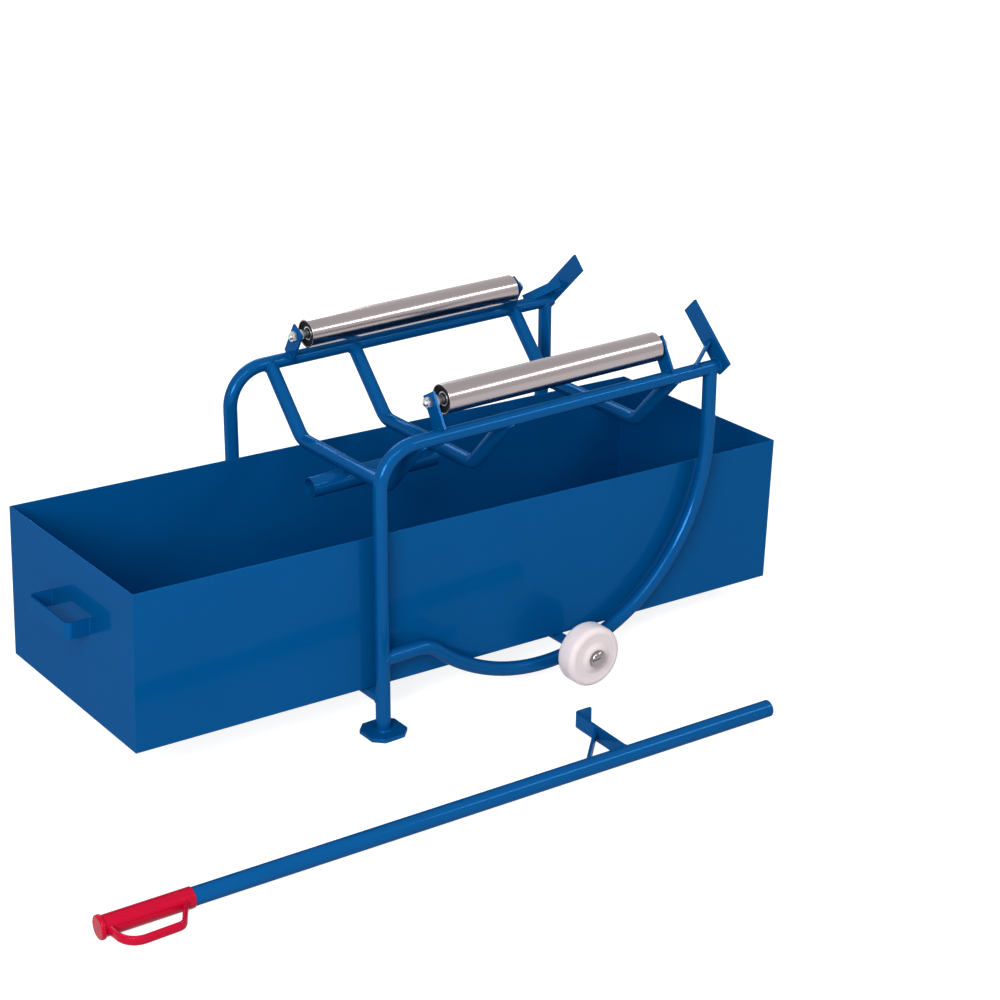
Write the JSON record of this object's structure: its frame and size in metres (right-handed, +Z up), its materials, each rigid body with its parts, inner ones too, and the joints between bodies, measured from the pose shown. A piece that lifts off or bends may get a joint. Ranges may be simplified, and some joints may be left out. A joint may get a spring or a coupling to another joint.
{
  "type": "drum tipper",
  "caption": "Floor-standing drum tipper of bent tube: rollers and end stops carry a lying drum above a loose drip tray, rocker arcs and wheels let it tip, and a loose lever fits its socket.",
  "frame": {"origin": "on the floor, midway between the two posts", "axes": "+X from the posts along the rails to the drum stops, +Y to the left side, +Z up"},
  "size_m": [1.7672, 1.0119, 0.6719],
  "materials": {
    "frame_blue": "glossy powder coat",
    "tray_blue": "glossy powder coat",
    "lever_blue": "glossy powder coat",
    "roller_steel": "bright drawn",
    "plated_steel": "zinc plated",
    "cap_chrome": "polished",
    "bearing_black": "moulded",
    "wheel_nylon": "satin",
    "grip_red": "moulded"
  },
  "bodies": {
    "frame": {"post_rail_tube_right": "frame_blue", "rocker_tube_right": "frame_blue", "foot_plate_right": "frame_blue", "stop_bar_right": "frame_blue", "stop_strut_right": "frame_blue", "roller_bracket_right_front": "frame_blue", "roller_bracket_right_rear": "frame_blue", "post_rail_tube_left": "frame_blue", "rocker_tube_left": "frame_blue", "foot_plate_left": "frame_blue", "stop_bar_left": "frame_blue", "stop_strut_left": "frame_blue", "roller_bracket_left_front": "frame_blue", "roller_bracket_left_rear": "frame_blue", "cradle_tube_front": "frame_blue", "cradle_tube_middle": "frame_blue", "cradle_tube_rear": "frame_blue", "low_cross_tube": "frame_blue", "lever_socket_tube": "frame_blue", "roller_axle_right": "plated_steel", "roller_outer_nuts_right": "plated_steel", "roller_inner_nuts_right": "plated_steel", "roller_sleeves_right": "plated_steel", "wheel_sleeve_right": "plated_steel", "roller_axle_left": "plated_steel", "roller_outer_nuts_left": "plated_steel", "roller_inner_nuts_left": "plated_steel", "roller_sleeves_left": "plated_steel", "wheel_sleeve_left": "plated_steel", "wheel_axle": "frame_blue", "wheel_cap_right": "cap_chrome", "wheel_cap_left": "cap_chrome"},
    "roller_right": {"roller_shell_right": "roller_steel", "roller_bearing_right_front": "bearing_black", "roller_bearing_right_rear": "bearing_black"},
    "roller_left": {"roller_shell_left": "roller_steel", "roller_bearing_left_front": "bearing_black", "roller_bearing_left_rear": "bearing_black"},
    "wheel_right": {"wheel_right": "wheel_nylon"},
    "wheel_left": {"wheel_left": "wheel_nylon"},
    "tray": {"tray_shell": "tray_blue", "tray_handle_front": "tray_blue", "tray_handle_rear": "tray_blue"},
    "lever": {"lever_tube": "lever_blue", "lever_grip": "grip_red", "lever_guard": "grip_red", "lever_hook": "lever_blue", "lever_hook_strut": "lever_blue"}
  },
  "joints": [
    {"name": "roller_right_turn", "type": "hinge", "parent": "frame", "child": "roller_right", "pos_m": [0.407, -0.22925, 0.61323], "axis": [1, 0, 0], "continuous": true},
    {"name": "roller_left_turn", "type": "hinge", "parent": "frame", "child": "roller_left", "pos_m": [0.407, 0.22925, 0.61323], "axis": [1, 0, 0], "continuous": true},
    {"name": "wheel_right_turn", "type": "hinge", "parent": "frame", "child": "wheel_right", "pos_m": [0.4345, -0.323, 0.06043], "axis": [0, 1, 0], "continuous": true},
    {"name": "wheel_left_turn", "type": "hinge", "parent": "frame", "child": "wheel_left", "pos_m": [0.4345, 0.323, 0.06043], "axis": [0, 1, 0], "continuous": true},
    {"name": "tray_slide", "type": "slide", "parent": "frame", "child": "tray", "axis": [-0.9994, 0, 0.0358], "range_m": [0, 0.64]},
    {"name": "lever_lift", "type": "slide", "parent": "frame", "child": "lever", "axis": [0, 0, 1], "range_m": [0, 0.3]}
  ]
}
